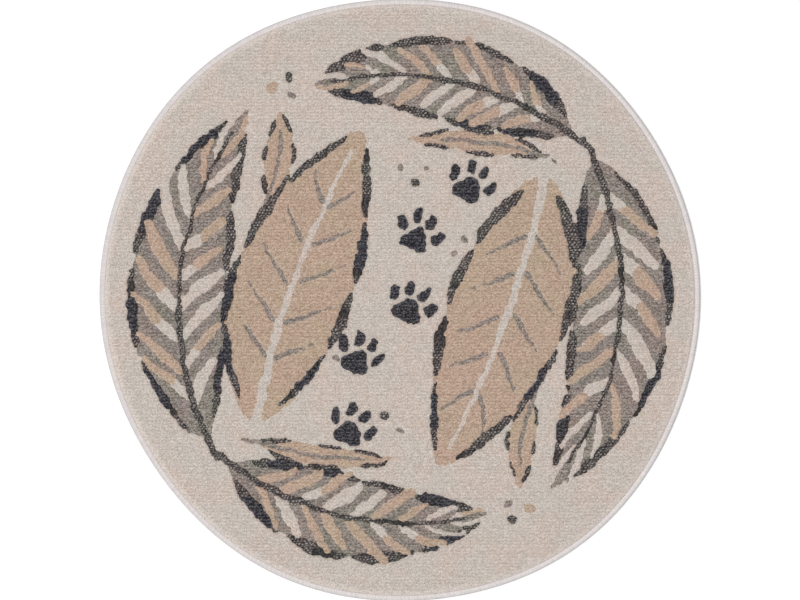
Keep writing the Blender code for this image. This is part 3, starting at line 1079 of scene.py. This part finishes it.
def makeAlongEdge():
    # copies of one stitch along a ring, each turned to the ring and a little uneven
    values = {"Pitch": "Float", "Lean": "Float", "Stray": "Float", "Seed": "Int"}
    inputs = {"Geometry": "Geometry", "Stitch": "Object", **values, "Material": "Material"}
    tree, given, put = addGroup("Geometry", "stitchesAlongEdge", inputs, {"Geometry": "Geometry"})
    tree.is_modifier = True
    curve = addNode(tree, "GeometryNodeMeshToCurve", {"Mesh": given["Geometry"]})["Curve"]
    inputs = {"Curve": curve, "Length": given["Pitch"]}
    spaced = addNode(tree, "GeometryNodeResampleCurve", inputs, mode="LENGTH")["Curve"]
    inputs = {"Vector": addNode(tree, "GeometryNodeInputTangent", {})["Tangent"]}
    facing = addNode(tree, "FunctionNodeAlignRotationToVector", inputs, axis="Y", pivot_axis="Z")["Rotation"]
    inputs = {"Seed": given["Seed"]}
    for limit, operation in (("Min", "SUBTRACT"), ("Max", "ADD")):
        lean = addMath(tree, operation, given["Lean"], given["Stray"])
        inputs[limit] = addNode(tree, "ShaderNodeCombineXYZ", {"Z": lean})["Vector"]
    lean = addNode(tree, "FunctionNodeRandomValue", inputs, data_type="FLOAT_VECTOR")["Value"]
    lean = addNode(tree, "FunctionNodeEulerToRotation", {"Euler": lean})["Rotation"]
    inputs = {"Rotation": facing, "Rotate By": lean}
    turned = addNode(tree, "FunctionNodeRotateRotation", inputs, rotation_space="LOCAL")["Rotation"]
    stitch = addNode(tree, "GeometryNodeObjectInfo", {"Object": given["Stitch"]})["Geometry"]
    inputs = {"Points": spaced, "Instance": stitch, "Rotation": turned}
    copies = addNode(tree, "GeometryNodeInstanceOnPoints", inputs)["Instances"]
    real = addNode(tree, "GeometryNodeRealizeInstances", {"Geometry": copies})["Geometry"]
    inputs = {"Geometry": real, "Material": given["Material"]}
    setInputs(tree, put, {"Geometry": addNode(tree, "GeometryNodeSetMaterial", inputs)["Geometry"]})
    sockets = [socket for socket in tree.interface.items_tree if socket.in_out == "INPUT"]
    return tree, {socket.name: socket.identifier for socket in sockets}


alongEdge, edgeInputs = makeAlongEdge()


def guideRing(name, stitch):
    count = binding["guideSegments"]
    points = ringPoints(stitch["inset"], stitch["lift"], count)
    mesh = bpy.data.meshes.new(name)
    mesh.from_pydata(points.tolist(), [(i, (i + 1) % count) for i in range(count)], [])
    return linkObject(name, mesh)


def shadeStitches(mesh, facesEach, seed):
    # every stitch has its own tone, and the edge's outer side is darker with painted shade
    source = np.random.default_rng(seed)
    stitches = len(mesh.polygons) // facesEach
    tones = np.repeat(0.5 + binding["toneSpread"] * source.uniform(-1, 1, stitches), facesEach)
    corners = readAll(mesh.loops, "vertex_index", np.int32)
    points = readAll(mesh.vertices, "co", np.float32, 3).reshape(-1, 3)
    flank = (1 - insetOf(*points[corners, :2].T) / binding["flankInset"]).clip(0, 1)
    totals = readAll(mesh.polygons, "loop_total", np.int32)
    writeTones(mesh, (np.repeat(tones, totals) - binding["flankShade"] * flank).clip(0, 1))


def stitchRing(name, path, stitch):
    # the nodes copy one stitch along a ring, and the result becomes a plain mesh
    stitchMesh = tubeMesh(name + "_stitch", path, stitch)
    facesEach = len(stitchMesh.polygons)
    single = linkObject(name + "_stitch", stitchMesh)
    ring = guideRing(name + "_guide", stitch)
    nodes = ring.modifiers.new("stitches", "NODES")
    nodes.node_group = alongEdge
    nodes[edgeInputs["Stitch"]] = single
    nodes[edgeInputs["Material"]] = bindingYarn
    for value in ("Pitch", "Lean", "Stray", "Seed"):
        nodes[edgeInputs[value]] = stitch[value.lower()]
    graph = bpy.context.evaluated_depsgraph_get()
    mesh = bpy.data.meshes.new_from_object(ring.evaluated_get(graph))
    mesh.name = name
    for helper in (ring, single):
        bpy.data.objects.remove(helper, do_unlink=True)
    mesh.shade_smooth()
    shadeStitches(mesh, facesEach, stitch["toneSeed"])
    print(name, len(mesh.polygons), "faces")
    return linkMesh(name, mesh, bindingYarn)


bindingWraps = stitchRing("binding_wraps", wrapPath(), wrap)
bindingSeam = stitchRing("binding_seam", seamPath(), seam)


# Every piece rides the one body

for piece in [*pilePieces, rugBack, bindingCore, bindingWraps, bindingSeam]:
    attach(piece, "root")
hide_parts("rug_carpet")
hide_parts("edge_binding")


# Floor, light and camera

studio = {
    "floorSize": 40.0, "floorTone": 0.96, "floorShader": {"Roughness": 0.9, "Specular IOR Level": 0.1},
    "skyStrength": 0.65, "keyPower": 2200.0, "keySize": 9.0, "keyPlace": (-8.2, -1.4, 17.5),
    "lens": 85.0, "clipEnd": 50.0, "aim": (-0.0006, -0.0019),
    "pictureWidth": 800, "pixel": 0.001988,  # metres of rug to one pixel of a picture this wide
}


def makeFloor():
    half = studio["floorSize"] / 2
    corners = [(-half, -half, 0), (half, -half, 0), (half, half, 0), (-half, half, 0)]
    mesh = quadMesh("floor", corners, [(0, 1, 2, 3)])
    colour = (*[studio["floorTone"]] * 3, 1.0)
    material = startMaterial("paleFloor", studio["floorShader"] | {"Base Color": colour})[0]
    mesh.materials.append(material)
    floor = linkObject("floor", mesh)


def makeLights():
    world = bpy.data.worlds.new("studio")
    world.use_nodes = True
    sky = world.node_tree.nodes["Background"]
    setInputs(world.node_tree, sky, {"Color": (1.0, 1.0, 1.0, 1.0), "Strength": studio["skyStrength"]})
    bpy.context.scene.world = world
    light = bpy.data.lights.new("key", "AREA")
    light.shape = "SQUARE"
    light.size = studio["keySize"]
    light.energy = studio["keyPower"]
    key = linkObject("key", light)
    x, y, z = studio["keyPlace"]
    key.location = (x, y, z)
    key.rotation_euler = (math.atan2(math.hypot(x, y), z), 0, math.atan2(x, -y))


def makeCamera():
    lens = bpy.data.cameras.new("overhead")
    lens.lens = studio["lens"]
    lens.clip_end = studio["clipEnd"]
    camera = linkObject("overhead", lens)
    across = studio["pictureWidth"] * studio["pixel"]
    camera.location = (*studio["aim"], studio["lens"] / lens.sensor_width * across + bindingTop)
    bpy.context.scene.camera = camera


makeFloor()
makeLights()
makeCamera()
bpy.context.scene.view_settings.view_transform = "Standard"
print("studio set")
